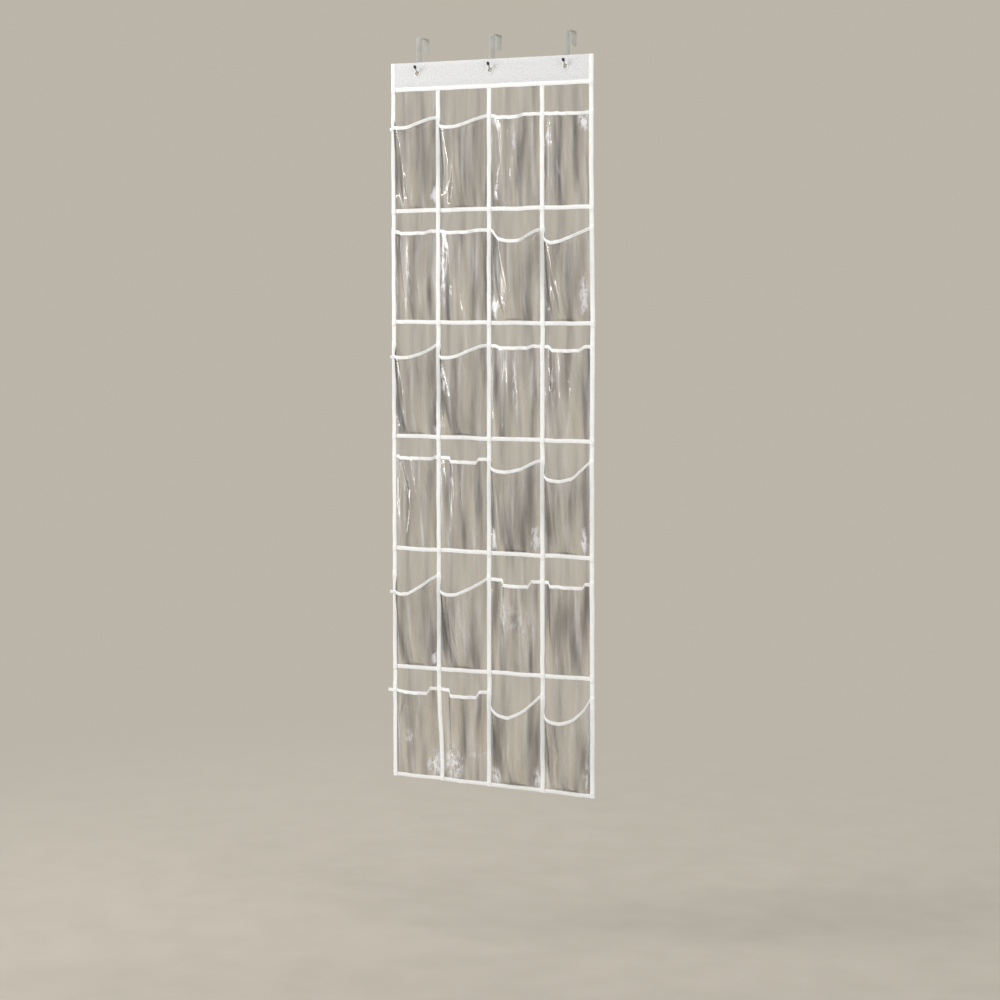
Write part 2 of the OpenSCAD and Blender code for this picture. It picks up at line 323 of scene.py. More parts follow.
def show(tree, shader):
    output = tree.nodes.new("ShaderNodeOutputMaterial")
    tree.links.new(shader, output.inputs["Surface"])


def flat_place(tree, scale):
    """Flat coordinates along and across a cloth or film, scaled."""
    uv = node(tree, "UVMap", uv_map="flat").outputs[0]
    return node(tree, "Mapping", {"Vector": uv, "Scale": scale}).outputs[0]


def object_place(tree, scale):
    at = node(tree, "TexCoord").outputs["Object"]
    return node(tree, "Mapping", {"Vector": at, "Scale": scale}).outputs[0]


def noise_of(tree, vector, detail=2.0, rough=0.5):
    inputs = {"Vector": vector, "Scale": 1.0, "Detail": detail, "Roughness": rough}
    return node(tree, "TexNoise", inputs).outputs[0]


def multiply_of(tree, colour, other, share=1.0):
    """One colour darkened by another, by the given share."""
    inputs = {"Fac": share, "Color1": colour, "Color2": other}
    return node(tree, "MixRGB", inputs, blend_type="MULTIPLY").outputs[0]


def threads(tree, scale, unevenness, direction):
    """Fine parallel threads along one of a tape's directions."""
    inputs = {"Vector": flat_place(tree, (1, 1, 1)), "Scale": scale, "Distortion": unevenness}
    return node(tree, "TexWave", inputs, bands_direction=direction).outputs["Fac"]


def math_of(tree, operation, a, b=0.0, clamp=False):
    return node(tree, "Math", {0: a, 1: b}, operation=operation, use_clamp=clamp).outputs[0]


def ramp_of(tree, value, stops):
    """A ramp through (position, colour) stops."""
    made = node(tree, "ValToRGB", {0: value})
    points = made.color_ramp.elements
    while len(points) < len(stops):
        points.new(0.5)
    for point, (position, colour) in zip(points, stops):
        point.position = position
        point.color = (*colour, 1)
    return made.outputs[0]


def grey(value):
    return (value, value, value)


def bump_of(tree, height, strength, distance):
    return node(tree, "Bump", {"Height": height, "Strength": strength, "Distance": distance}).outputs[0]


def surface(tree, inputs):
    """Finishes a material with one principled surface."""
    show(tree, node(tree, "BsdfPrincipled", inputs).outputs[0])


def tape_material():
    """White woven binding tape: fine ribs across and along, a soft nap and slight unevenness."""
    made, tree = new_material("white_tape")
    weave = math_of(tree, "MULTIPLY", threads(tree, 300.0, 0.4, "X"), threads(tree, 380.0, 0.3, "Y"))
    drift = noise_of(tree, object_place(tree, (45, 45, 45)), 3)
    colour = ramp_of(tree, drift, [(0.3, (0.93, 0.93, 0.92)), (0.7, (0.985, 0.985, 0.975))])
    shaded = multiply_of(tree, colour, weave, 0.06)
    inputs = {
        "Base Color": shaded,
        "Roughness": 0.82,
        "Sheen Weight": 0.25,
        "Sheen Roughness": 0.4,
        "Normal": bump_of(tree, weave, 0.55, 0.0002),
    }
    surface(tree, inputs)
    return made


def header_material():
    """White non-woven fabric, embossed with small dots whose pits are darkened a little as painted shade, and
    faintly speckled grey.
    """
    made, tree = new_material("header_fabric")
    at = flat_place(tree, (1, 1, 1))
    dots = node(tree, "TexVoronoi", {"Vector": at, "Scale": 430.0, "Randomness": 0.35}).outputs["Distance"]
    pits = ramp_of(tree, dots, [(0.12, grey(0)), (0.38, grey(1))])
    fibre = noise_of(tree, flat_place(tree, (900, 900, 900)), 4, 0.65)
    patches = noise_of(tree, flat_place(tree, (260, 260, 260)), 3, 0.6)
    speckle = ramp_of(tree, patches, [(0.34, (0.64, 0.645, 0.655)), (0.60, (0.755, 0.76, 0.765))])
    # Painted shade: the embossed pits are darkened a little.
    colour = multiply_of(tree, speckle, pits, 0.12)
    height = math_of(tree, "ADD", pits, math_of(tree, "MULTIPLY", fibre, 0.35))
    inputs = {
        "Base Color": colour,
        "Roughness": 0.9,
        "Sheen Weight": 0.15,
        "Normal": bump_of(tree, height, 0.6, 0.00025),
    }
    surface(tree, inputs)
    return made


def steel_material():
    """Satin steel with fine drawing lines along the strip."""
    made, tree = new_material("hook_steel")
    lines = noise_of(tree, object_place(tree, (900, 900, 25)), 3, 0.6)
    cloud = noise_of(tree, object_place(tree, (90, 90, 60)), 2)
    shine = ramp_of(tree, lines, [(0.25, grey(0.33)), (0.75, grey(0.49))])
    colour = ramp_of(tree, cloud, [(0.3, (0.5676, 0.5676, 0.5246)), (0.7, (0.66, 0.66, 0.61))])
    inputs = {
        "Base Color": colour,
        "Metallic": 0.6,
        "Roughness": shine,
        "Normal": bump_of(tree, lines, 0.15, 0.0001),
    }
    surface(tree, inputs)
    return made


BARREL_WALL = 2.4  # flat length of an eyelet's inner wall, where its section starts; eyelet_material paints this wall near-black as shade


def eyelet_material():
    """Pale nickel rims; the barrel's inner wall is painted near-black as the shade inside the hole."""
    made, tree = new_material("eyelet_metal")
    along = node(tree, "SeparateXYZ", {0: flat_place(tree, (1, 1, 1))}).outputs[0]
    cloud = noise_of(tree, object_place(tree, (500, 500, 500)), 3, 0.6)
    plate = ramp_of(tree, cloud, [(0.3, (0.84, 0.84, 0.83)), (0.7, (0.93, 0.93, 0.92))])
    # Painted shade: the barrel's inner wall is made near-black so that the hole reads dark, as if shaded.
    inside = math_of(tree, "LESS_THAN", along, BARREL_WALL * MM)
    dull = (0.03, 0.03, 0.028, 1)
    colour = node(tree, "MixRGB", {"Fac": inside, "Color1": plate, "Color2": dull}).outputs[0]
    inputs = {
        "Base Color": colour,
        "Metallic": 0.25,
        "Roughness": ramp_of(tree, cloud, [(0.3, grey(0.18)), (0.7, grey(0.3))]),
        "Normal": bump_of(tree, cloud, 0.1, 0.0001),
    }
    surface(tree, inputs)
    return made


def tip_material():
    """Dark dipped vinyl, smooth with a few dull patches."""
    made, tree = new_material("tip_vinyl")
    cloud = noise_of(tree, object_place(tree, (400, 400, 400)), 3)
    inputs = {
        "Base Color": ramp_of(tree, cloud, [(0.3, grey(0.012)), (0.7, grey(0.03))]),
        "Roughness": ramp_of(tree, cloud, [(0.3, grey(0.28)), (0.7, grey(0.45))]),
        "Coat Weight": 0.3,
        "Normal": bump_of(tree, cloud, 0.2, 0.0002),
    }
    surface(tree, inputs)
    return made


def board_material():
    """Off-white stiffening sheet, seen only where the header's layers part."""
    made, tree = new_material("header_board")
    cloud = noise_of(tree, object_place(tree, (120, 120, 120)), 3)
    inputs = {
        "Base Color": ramp_of(tree, cloud, [(0.3, (0.6, 0.58, 0.53)), (0.7, (0.68, 0.66, 0.61))]),
        "Roughness": 0.6,
        "Normal": bump_of(tree, cloud, 0.1, 0.0003),
    }
    surface(tree, inputs)
    return made


def vinyl_material(name, depth, haze_and_sheen):
    """Clear soft vinyl: what is behind shows through, greyed in upright streaks of painted shade that stand
    for the dark reflections in its creases, and shaded darker where seen edge-on, under a glossy skin.

    depth is how strong the painted streaks are, and the third argument how milky its cloudy places are:
    partly the film's own milkiness, partly painted sheen that stands for its light reflections. The points'
    own value "glare" whitens it where it is creased and catches the light: a painted highlight.
    """
    made, tree = new_material(name)
    streaks = noise_of(tree, flat_place(tree, (46, 4.2, 1)), 2.5, 0.5)
    cloudy = noise_of(tree, flat_place(tree, (85, 5, 1)), 2.5, 0.55)
    # Painted shade: the film's darker upright streaks stand for the shade and dark reflections in its
    # creases.
    dark = tuple(1 - depth * (1 - c) for c in (0.70, 0.69, 0.69))
    middle = tuple(1 - depth * (1 - c) for c in (0.89, 0.88, 0.87))
    streak_shade = ramp_of(tree, streaks, [(0.30, dark), (0.46, middle), (0.62, (0.985, 0.975, 0.955))])
    edge_on = node(tree, "LayerWeight", {"Blend": 0.5}).outputs["Facing"]
    shade = ramp_of(tree, edge_on, [(0.28, grey(1)), (0.75, grey(0.5))])
    clear = node(tree, "BsdfTransparent", {"Color": multiply_of(tree, streak_shade, shade)}).outputs[0]
    # The milky places are partly the film's own cloudiness and partly painted sheen, brightened to stand for
    # its light reflections.
    milky = {"Base Color": (0.88, 0.88, 0.90, 1), "Roughness": 0.35, "IOR": 1.45}
    milk = node(tree, "BsdfPrincipled", milky).outputs[0]
    soft = ramp_of(tree, cloudy, [(0.44, grey(0.012)), (0.60, grey(0.35 * haze_and_sheen)), (0.72, grey(haze_and_sheen))])
    # Painted highlight: where the points' "glare" value is high, the film is whitened in glinting specks.
    painted_glare = node(tree, "Attribute", attribute_name="glare").outputs["Fac"]
    specks = noise_of(tree, flat_place(tree, (150, 45, 1)), 3, 0.6)
    specks = math_of(tree, "ADD", specks, math_of(tree, "MULTIPLY", painted_glare, 0.13))
    glints = ramp_of(tree, specks, [(0.50, grey(0)), (0.61, grey(1))])
    whitened = math_of(tree, "ADD", soft, math_of(tree, "MULTIPLY", painted_glare, glints), clamp=True)
    body = node(tree, "MixShader", {0: whitened, 1: clear, 2: milk}).outputs[0]
    skin_normal = bump_of(tree, streaks, 0.3, 0.002)
    facing = node(tree, "LayerWeight", {"Blend": 0.5, "Normal": skin_normal}).outputs["Facing"]
    grazing = math_of(tree, "MULTIPLY", math_of(tree, "POWER", facing, 5.0), 0.6)
    mirror = math_of(tree, "ADD", grazing, 0.045, clamp=True)
    glossy = {"Color": (1, 1, 1, 1), "Roughness": 0.12, "Normal": skin_normal}
    gloss = node(tree, "BsdfGlossy", glossy).outputs[0]
    show(tree, node(tree, "MixShader", {0: mirror, 1: body, 2: gloss}).outputs[0])
    return made


TAPE = tape_material()
HEADER_CLOTH = header_material()
STEEL = steel_material()
NICKEL = eyelet_material()
TIP = tip_material()
BOARD = board_material()
POCKET_VINYL = vinyl_material("pocket_vinyl", 1.0, 0.34)
BACK_VINYL = vinyl_material("back_vinyl", 0.6, 0.14)


# ---------------- the pockets' shape

ACROSS = (0, 0.08, 0.25, 0.45, 0.7, 0.9, 1)  # places across a pocket
# How far a mouth drops below its ends there, as shares of its sag.
HEEL_LEFT = (0, 0.9, 1, 0.94, 0.52, 0.13, 0)
BOWL = (0, 0.1, 0.8, 1, 0.97, 0.2, 0)
# And how far it stands out there, as shares of its gape.
OUT_LEFT = (0, 0.88, 1, 0.92, 0.6, 0.2, 0)
OUT_BOWL = (0, 0.45, 0.9, 1, 0.92, 0.35, 0)

OPEN_GAPE = 34
# Open pockets by (row, column): sag, shares of the drop, shares of the gape.
OPEN = {
    (1, 0): (22, (0, 0.9, 1, 0.95, 0.45, 0.05, 0), OUT_LEFT),
    (1, 1): (24, HEEL_LEFT, OUT_LEFT),
    (2, 2): (25, BOWL, OUT_BOWL),
    (2, 3): (31, (0, 0.7, 1, 0.88, 0.53, 0.2, 0), OUT_LEFT),
    (3, 0): (30, (0, 0.9, 1, 0.98, 0.7, 0.3, 0), OUT_LEFT),
    (3, 1): (28, (0, 0.95, 1, 0.88, 0.4, 0.05, 0), OUT_LEFT),
    (4, 2): (26, (0, 0.7, 0.95, 1, 0.7, 0.15, 0), OUT_LEFT),
    (4, 3): (42, (0, 0.8, 0.95, 1, 0.85, 0.27, 0), OUT_LEFT),
    (5, 0): (42, HEEL_LEFT, OUT_LEFT),
    (5, 1): (39, (0, 0.8, 0.97, 0.93, 0.58, 0.25, 0), OUT_LEFT),
    (6, 2): (49, (0, 0.6, 0.9, 1, 0.7, 0.25, 0), OUT_LEFT),
    (6, 3): (51, (0, 0.8, 0.96, 1, 0.85, 0.42, 0), OUT_LEFT),
}
# Slack pockets by (row, column): gape, sag, and how much of each end the pleats hold up level.
SLACK = {
    (1, 2): (10, 4.5, 0.03, 0.30),
    (1, 3): (9, 1.5, 0.03, 0.03),
    (2, 0): (11, 4.5, 0.04, 0.10),
    (2, 1): (11, 4, 0.04, 0.22),
    (3, 2): (12, 5, 0.09, 0.12),
    (3, 3): (12, 9, 0.08, 0.10),
    (4, 0): (11, 3.5, 0.08, 0.04),
    (4, 1): (12, 9, 0.22, 0.17),
    (5, 2): (13, 12, 0.25, 0.17),
    (5, 3): (12, 9.5, 0.10, 0.10),
    (6, 0): (13, 11.5, -0.03, 0.17),
    (6, 1): (12, 12.5, 0.20, 0.17),
}
# Share of a pocket's width in which a pleat ends, by row.
PLEAT_STEP = {1: 0.14, 2: 0.16, 3: 0.14, 4: 0.03, 5: 0.03, 6: 0.025}


def pocket_span(column):
    return TAPES[column][1] + 0.5, TAPES[column + 1][0] - 0.5


def softened(u, shares, soft=0.085):
    """The line through shares at ACROSS with its corners rounded, and 0 at both ends."""
    places = [-p for p in ACROSS[2:0:-1]] + list(ACROSS) + [2 - p for p in ACROSS[-2:-4:-1]]
    values = [-s for s in shares[2:0:-1]] + list(shares) + [-s for s in shares[-2:-4:-1]]
    steps = np.linspace(-1, 1, 9)
    weights = 1.1 - np.abs(steps)
    total = sum(w * np.interp(u + soft * step, places, values) for step, w in zip(steps, weights))
    return total / weights.sum()


def arch(u, fullness):
    return np.maximum(np.sin(np.pi * np.clip(u, 0, 1)), 0) ** fullness


def between_pleats(row, column, u):
    """0 where a slack mouth is held up at its ends, and 1 between."""
    _, _, left, right = SLACK[row, column]
    step = PLEAT_STEP[row]
    return smoothstep((u - left) / step) * smoothstep((1 - right - u) / step)


def mouth_line(row, x):
    """Height of the mouth's edge at x."""
    edge = np.full(np.shape(x), float(MOUTHS[row]))
    for column in COLUMNS:
        lo, hi = pocket_span(column)
        inside = (x > lo) & (x < hi)
        u = (x - lo) / (hi - lo)
        if (row, column) in OPEN:
            sag, drops, _ = OPEN[row, column]
            drop = sag * softened(u, drops)
        else:
            sag = SLACK[row, column][1]
            drop = sag * between_pleats(row, column, u) * (0.86 + 0.14 * arch(u, 1))
            drop = drop + 0.7 * wobble(x / 17, row * 1.7, column + 2.0 * row) * arch(u, 0.5)
        edge = np.where(inside, edge - drop, edge)
    return edge


def creases(x, z, seed):
    """Depth of the soft upright folds that hanging vinyl keeps, with a few slanting ones."""
    drift = 0.8 * wobble(x / 85, z / 150, seed)
    broad = 1.15 * np.sin(2 * np.pi * (x / 31 + drift)) * (0.65 + 0.35 * wobble(x / 60, z / 90, seed + 2))
    patches = smoothstep(0.4 + wobble(x / 36, z / 70, seed + 5))
    medium = 0.6 * np.sin(2 * np.pi * (x / 13.5 + 1.6 * drift)) * patches
    slant = 0.3 * np.sin(2 * np.pi * ((x + 0.35 * z) / 47 + drift))
    return broad + medium + slant


# Creased spots by row: x, height above the seam's fold, half width, half height, depth of dents, glare (how
# strongly the film is whitened there as a painted highlight).
CREASED = {
    1: [
        (139, 160, 6, 38, 0.5, 0.9), (224, 190, 13, 26, 0.6, 1.0), (7, 205, 7, 22, 0.6, 0.7),
        (16, 34, 8, 24, 0.8, 0.8), (-136, 30, 12, 22, 0.8, 0.8), (60, 150, 6, 60, 0.4, 0.35),
    ],
    2: [
        (-113, 125, 5, 92, 0.6, 0.8), (-200, 120, 7, 90, 0.4, 0.3), (12, 30, 10, 34, 0.8, 0.9),
        (222, 60, 9, 60, 0.8, 0.9),
    ],
    3: [
        (62, 120, 7, 70, 0.4, 0.35), (150, 120, 6, 60, 0.4, 0.4), (-104, 150, 14, 40, 0.8, 0.6),
        (-132, 24, 10, 24, 0.8, 0.7),
    ],
    4: [
        (-210, 150, 6, 50, 0.4, 0.3), (10, 30, 10, 36, 0.8, 0.8), (108, 34, 12, 36, 0.8, 0.8),
        (222, 34, 9, 36, 0.8, 0.9),
    ],
    5: [
        (48, 135, 30, 40, 1.5, 0.25), (86, 120, 26, 46, 1.2, 0.25), (-134, 22, 14, 22, 0.8, 0.8),
    ],
    6: [
        (-142, 30, 24, 34, 1.9, 0.75), (-94, 36, 30, 52, 2.1, 0.75), (-30, 66, 22, 10, 0.8, 0.5),
        (-200, 96, 20, 20, 0.6, 0.3), (16, 22, 14, 26, 0.8, 0.8), (112, 22, 12, 26, 0.8, 0.7),
        (226, 40, 8, 40, 0.8, 0.5),
    ],
}


def creased(row, x, z):
    """Depth of small sharp dents and strength of glare, the painted highlight whitening, both only in the
    row's creased spots.
    """
    dents, glare = np.zeros_like(x), np.zeros_like(x)
    for middle, up, half_x, half_z, depth, white in CREASED[row]:
        spot = smoothstep(1.25 - np.hypot((x - middle) / half_x, (z - FOLDS[row] - up) / half_z))
        ridges = 1 - 2 * np.abs(wobble(x / 9, z / 11, middle)) - 0.6 * np.abs(wobble(z / 6.5, x / 14, up))
        dents = dents + depth * ridges * spot
        glare = np.maximum(glare, white * spot)
    return dents, glare


def film_bottom(row):
    """Height at which the pocket film leaves the seam tape."""
    return FOLDS[row] + SEAM_H + 1


def film(row, x, v):
    """Points of a row's pocket film; v is 0 at the seam and 1 at the mouth."""
    x, v = np.broadcast_arrays(np.asarray(x, float), np.asarray(v, float))
    z = film_bottom(row) + v * (mouth_line(row, x) - film_bottom(row))
    up = np.clip(v, 0, 1)
    out = STRIP_LOW + (STRIP_HIGH - STRIP_LOW) * up
    shift = np.zeros_like(out)
    rise = np.sin(np.pi / 2 * up**0.6)
    for column in COLUMNS:
        lo, hi = pocket_span(column)
        inside = (x > lo) & (x < hi)
        u = np.clip((x - lo) / (hi - lo), 0, 1)
        seed = 3.1 * row + 1.3 * column
        folds = creases(x, z, seed) + creased(row, x, z)[0]
        if (row, column) in OPEN:
            mouth = softened(u, OPEN[row, column][2])
            toe = arch(u, 1.2 + 0.6 * (1 - up) ** 2)
            bulge = OPEN_GAPE * rise * (mouth * up**1.2 + toe * (1 - up**1.2))
            folds = folds * (0.75 + 0.5 * (1 - up))
        else:
            gape = SLACK[row, column][0]
            held = 1 - 0.55 * (1 - between_pleats(row, column, u)) * up
            bulge = gape * arch(u, 0.7) * rise * held * (1 - 0.22 * wobble(u * 2, v * 1.5, seed))
            folds = folds * 1.35
        hold = arch(u, 0.45) * smoothstep(v / 0.12) * (1 - 0.35 * smoothstep((v - 0.8) / 0.2))
        folds = hold * np.clip(folds, -0.85 * bulge - 0.3, 9)
        out = np.where(inside, out + bulge + folds, out)
        shift = np.where(inside, shift + hold * 1.1 * wobble(x / 13, z / 80, seed + 4), shift)
    return place(x + shift, out, z)


def stations(per_pocket):
    """Places across the panel, close together beside the tapes."""
    made = [-INNER_X]
    for column in COLUMNS:
        lo, hi = pocket_span(column)
        turn = np.linspace(0, np.pi, per_pocket + 1)
        share = 0.65 * (1 - np.cos(turn)) / 2 + 0.35 * turn / np.pi
        made += list(lo + (hi - lo) * share)
    return np.array(made + [INNER_X])


# ---------------- film


LAP = 6.5  # how far a row's cloth and film reach up under the seam above


def back_film(row):
    fold = FOLDS[row - 1]
    top = fold + LAP
    bottom = FOLDS[row] + (1.3 if row == ROWS[-1] else 0)
    x = stations(26)
    z = np.concatenate([np.linspace(top, fold - 8, 9), np.linspace(fold - 12, bottom, 44)])
    across, down = np.meshgrid(x, z)
    out = np.zeros_like(across)
    for column in COLUMNS:
        lo, hi = pocket_span(column)
        u = (across - lo) / (hi - lo)
        inside = (u > 0) & (u < 1)
        near_seam = np.minimum(fold - down, down - FOLDS[row] - SEAM_H)
        hold = np.sin(np.pi * np.clip(u, 0, 1)) * smoothstep(near_seam / 25)
        out = np.where(inside, out - hold * (0.5 + 0.3 * creases(across, down, 7.7 * row + column)), out)
    shape = Shape()
    shape.slab(place(across, out, down), BACK_T, u=x, v=z)
    made = finished(shape, f"vinyl_back_{row}", BACK_VINYL, f"back_sheet_{row}")
    bend_at_fold(made)


def pocket_film(row):
    x = stations(44)
    v = np.concatenate([[-0.045, -0.02], np.linspace(0, 1, 64)])
    across, up = np.meshgrid(x, v)
    grid = film(row, across, up)
    shape = Shape()
    bottom, top = film_bottom(row), MOUTHS[row]
    shape.slab(grid, FILM_T, u=x, v=bottom + v * (top - bottom))
    name, strip = f"vinyl_pockets_{row}", f"pocket_strip_{row}"
    made = finished(shape, name, POCKET_VINYL, strip, f"row_{row}")
    heights = FOLDS[row] + up * (top - FOLDS[row])
    both_faces = 2
    # The glare value whitens the film in the material as a painted highlight.
    glare = made.data.attributes.new("glare", "FLOAT", "POINT")
    glare.data.foreach_set("value", np.tile(creased(row, across, heights)[1].ravel(), both_faces))


# ---------------- tapes

STITCH_LIFT = 0.02  # how far off the tape's face a line of stitches runs
# Section of a flat tape: shares of its half width and of its thickness.
PILLOW = [(-1, 0.2), (-1, 0.75), (-0.93, 1), (0, 1.04), (0.93, 1), (1, 0.75), (1, 0.2), (0.93, 0), (-0.93, 0)]


def bend_at_fold(piece):
    """Bakes the piece's placement into its mesh."""
    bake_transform(piece)


def tape_rests(row, z):
    """How far out an upright tape's back lies at each height: on the sheet, over the mouth, on the film."""
    fold, next_fold, mouth = FOLDS[row - 1], FOLDS[row], MOUTHS[row]
    over = STRIP_HIGH + 0.6
    at_lap = 0.3 if row == 1 else 2.02
    over_seam = SEAM_FACE[1] + 0.04
    knots = [
        (fold + LAP, at_lap), (fold + 0.5, at_lap), (fold - 6, 0.3), (mouth + 5, 0.3),
        (mouth + 1, over), (mouth - MOUTH_H, over), (mouth - MOUTH_H - 5, STRIP_HIGH + 0.25),
        (next_fold + SEAM_H + 5, STRIP_LOW + 0.3), (next_fold + SEAM_H + 0.5, over_seam),
        (next_fold, over_seam),
    ]
    heights, outs = zip(*reversed(knots))
    return np.interp(z, heights, outs)


def tape_thickness(row, z):
    """Full in the row, half where one row's tape laps the next."""
    lapping = (z > FOLDS[row - 1]) | (z < FOLDS[row] + LAP + 0.3)
    return np.where(lapping, 0.45, 0.75)


def tape_heights(row):
    top, bottom = FOLDS[row - 1] + LAP, FOLDS[row] + 0.1
    mouth = MOUTHS[row]
    steps = [np.linspace(top, top - 20, 21), np.arange(top - 25, mouth + 12, -5.0)]
    steps += [np.arange(mouth + 10, mouth - 18, -1.0), np.arange(mouth - 22, bottom + 18, -5.0)]
    steps += [np.linspace(bottom + 16, bottom, 17)]
    return np.concatenate(steps)


def add_ribbon(shape, x, base, z, thick, half_x=0.0, half_z=0.0):
    """A flat tape along the line x, z, as wide as the halves say, with its back base out."""
    rings = [place(x + a * half_x, base + b * thick, z + a * half_z) for a, b in PILLOW]
    shape.tube(np.stack(rings, axis=1))


def divider_tapes(row):
    z = tape_heights(row)
    base = tape_rests(row, z)
    thick = tape_thickness(row, z)
    shape = Shape()
    for lo, hi in DIVIDERS:
        middle = (lo + hi) / 2 + 0.6 * wobble(z / 45, lo / 50, 1.0 + lo)
        half = (hi - lo) / 2 + 0.12 * wobble(z / 9, lo, 2.0)
        add_ribbon(shape, middle, base, z, thick, half_x=half)
        for side in (-1, 1):
            shape.flat_stitches(place(middle + side * (half - 1.5), base + thick, z))
    made = finished(shape, f"divider_tape_set_{row}", TAPE, f"divider_tapes_{row}")
    bend_at_fold(made)


def wrapped(front, back, thick, width):
    """Section of a tape folded round an edge at 0: (distance in from the edge, out) for each ring point."""
    outside = [
        (width, front - 0.1), (width - 0.5, front), (width / 2, front + 0.05), (1.2, front),
        (0.35, front - 0.35), (0, front - 0.9), (0, back + 0.9), (0.35, back + 0.3),
        (1.2, back), (width - 0.5, back), (width, back + 0.1),
    ]
    inside = [
        (width, back + thick), (1.3, back + thick), (thick + 0.15, back + thick + 0.35),
        (thick + 0.15, front - thick - 0.35), (1.3, front - thick), (width, front - thick),
    ]
    return outside + inside


EDGE_FACE_HEADER = 2.5  # how far out the first row's edge tapes lie where they lap the header's
EDGE_BACK = -0.9
HEM_EDGE_BACK = -1.05  # in the row that ends in the hem tape
LAP_BACK = 0.32  # how much farther back they lie where they lap the tapes above
EDGE_INSET = 0.5  # from the panel's nominal side to the tape's fold
EDGE_STITCH = 1.1  # from the tape's inner edge to its stitches


def bind_edge(shape, side, z, front, back, thick, drift=0.0):
    """A tape folded round the panel's left (-1) or right (1) edge, stitched front and back."""
    section = wrapped(front, back, thick, TAPE_W)
    rings = [place(side * (EDGE_X - EDGE_INSET - d) + drift, out, z) for d, out in section]
    shape.tube(np.stack(rings, axis=1))
    for out, way in ((front + STITCH_LIFT, 1), (back - STITCH_LIFT, -1)):
        shape.flat_stitches(place(side * (EDGE_X - TAPE_W + EDGE_STITCH) + drift, out, z), way)


def edge_bindings(row):
    z = tape_heights(row)
    front = tape_rests(row, z) + tape_thickness(row, z)
    if row == 1:
        over_header = np.interp(z, (FOLDS[0] - 6, FOLDS[0]), (1.05, EDGE_FACE_HEADER))
        front = np.where(z > FOLDS[0] - 6, over_header, front)
    back = (HEM_EDGE_BACK if row == ROWS[-1] else EDGE_BACK) - LAP_BACK * (z > FOLDS[row - 1])
    shape = Shape()
    for side in (-1, 1):
        bind_edge(shape, side, z, front, back, 0.42, drift=0.5 * wobble(z / 60, side, 3.0 + side))
    made = finished(shape, f"edge_tape_pair_{row}", TAPE, f"edge_bindings_{row}")
    bend_at_fold(made)


def seam_run(name, node_name, body, bottom, face, seed):
    """A tape straight across the panel, very slightly wavy."""
    x = np.linspace(-INNER_X, INNER_X, 121)
    half = SEAM_H / 2
    z = bottom + half + 0.45 * wobble(x / 38, seed, seed)
    base, front = face
    shape = Shape()
    add_ribbon(shape, x, base, z, front - base, half_z=half)
    for side in (-1, 1):
        shape.flat_stitches(place(x, front + STITCH_LIFT, z + side * (half - 1.3)))
    finished(shape, name, TAPE, node_name, body)


# Where a mouth tape's left end laps over the edge tape and sticks out: how far, and how far below the mouth.
TAILS = {1: (2, 21), 3: (3, 28), 5: (6, 41), 6: (11, 10)}
TAIL_T = 0.9
TAIL_GAP = 0.1  # between the tail and the edge tape that it lies on


def add_tail(shape, row):
    stick_out, below = TAILS[row]
    middle = MOUTHS[row] - below - MOUTH_H / 2
    x = np.linspace(-EDGE_X - stick_out, TAPE_W - EDGE_X - 0.6, 9)
    base = float(tape_rests(row, middle) + tape_thickness(row, middle)) + TAIL_GAP
    add_ribbon(shape, x, base, middle + 0.4 * wobble(x / 9, 0, row), TAIL_T, half_z=MOUTH_H / 2)


def mouth_tape(row):
    """Tape folded over the film's edge, following it from side to side."""
    x = stations(44)
    height = mouth_line(row, x) - film_bottom(row)
    edge = film(row, x, np.ones_like(x))
    beneath = film(row, x, 1 - MOUTH_H / height)
    down = beneath - edge
    down /= np.linalg.norm(down, axis=1, keepdims=True)
    run = np.gradient(edge, axis=0)
    normal = np.cross(run, -down)
    normal /= np.linalg.norm(normal, axis=1, keepdims=True)
    normal *= np.sign(normal @ FRONT)[:, None]
    grip, face, back = 0.22, 0.62, 0.55  # off the film's middle: the tape's inside, its front and its back
    outside = [
        (MOUTH_H, face - 0.12), (MOUTH_H - 0.5, face), (MOUTH_H / 2, face + 0.08), (0.4, face),
        (-0.35, face * 0.6), (-0.5, 0), (-0.35, -back * 0.6), (0.4, -back),
        (MOUTH_H - 0.5, -back), (MOUTH_H, -back + 0.12),
    ]
    inside = [(MOUTH_H, -grip), (0.3, -grip), (0.05, 0), (0.3, grip), (MOUTH_H, grip)]
    rings = []
    for depth, off in outside + inside:
        on_film = film(row, x, 1 - np.maximum(depth, 0) / height) if depth > 0 else edge + down * depth
        rings.append(on_film + normal * off)
    shape = Shape()
    shape.tube(np.stack(rings, axis=1))
    seam = film(row, x, 1 - (MOUTH_H - 1.4) / height) + normal * (face + STITCH_LIFT)
    shape.stitches(seam, normal)
    if row in TAILS:
        add_tail(shape, row)
    finished(shape, f"mouth_tape_{row}", TAPE, f"mouth_binding_{row}", f"row_{row}")


def hem_tape():
    """Tape folded round the panel's bottom edge."""
    x = np.linspace(-INNER_X, INNER_X, 121)
    bottom = FOLDS[-1] + 0.4 * wobble(x / 55, 0, 9.0)
    shape = Shape()
    front, back = SEAM_FACE[1], -0.62
    section = wrapped(front, back, 0.4, SEAM_H)
    shape.tube(np.stack([place(x, out, bottom + d) for d, out in section], axis=1))
    for out, way in ((front + STITCH_LIFT, 1), (back - STITCH_LIFT, -1)):
        shape.flat_stitches(place(x, out, bottom + SEAM_H - 1.4), way)
    finished(shape, "hem_tape", TAPE, "hem_binding", f"row_{ROWS[-1]}")


# ---------------- header

PATCH = 12  # half the side of the square of cloth round each eyelet
PATCH_CELLS = 8
HOLE_RING = 0.5  # share of the square that the hole takes up in the grid
HOLE_R = 5.2


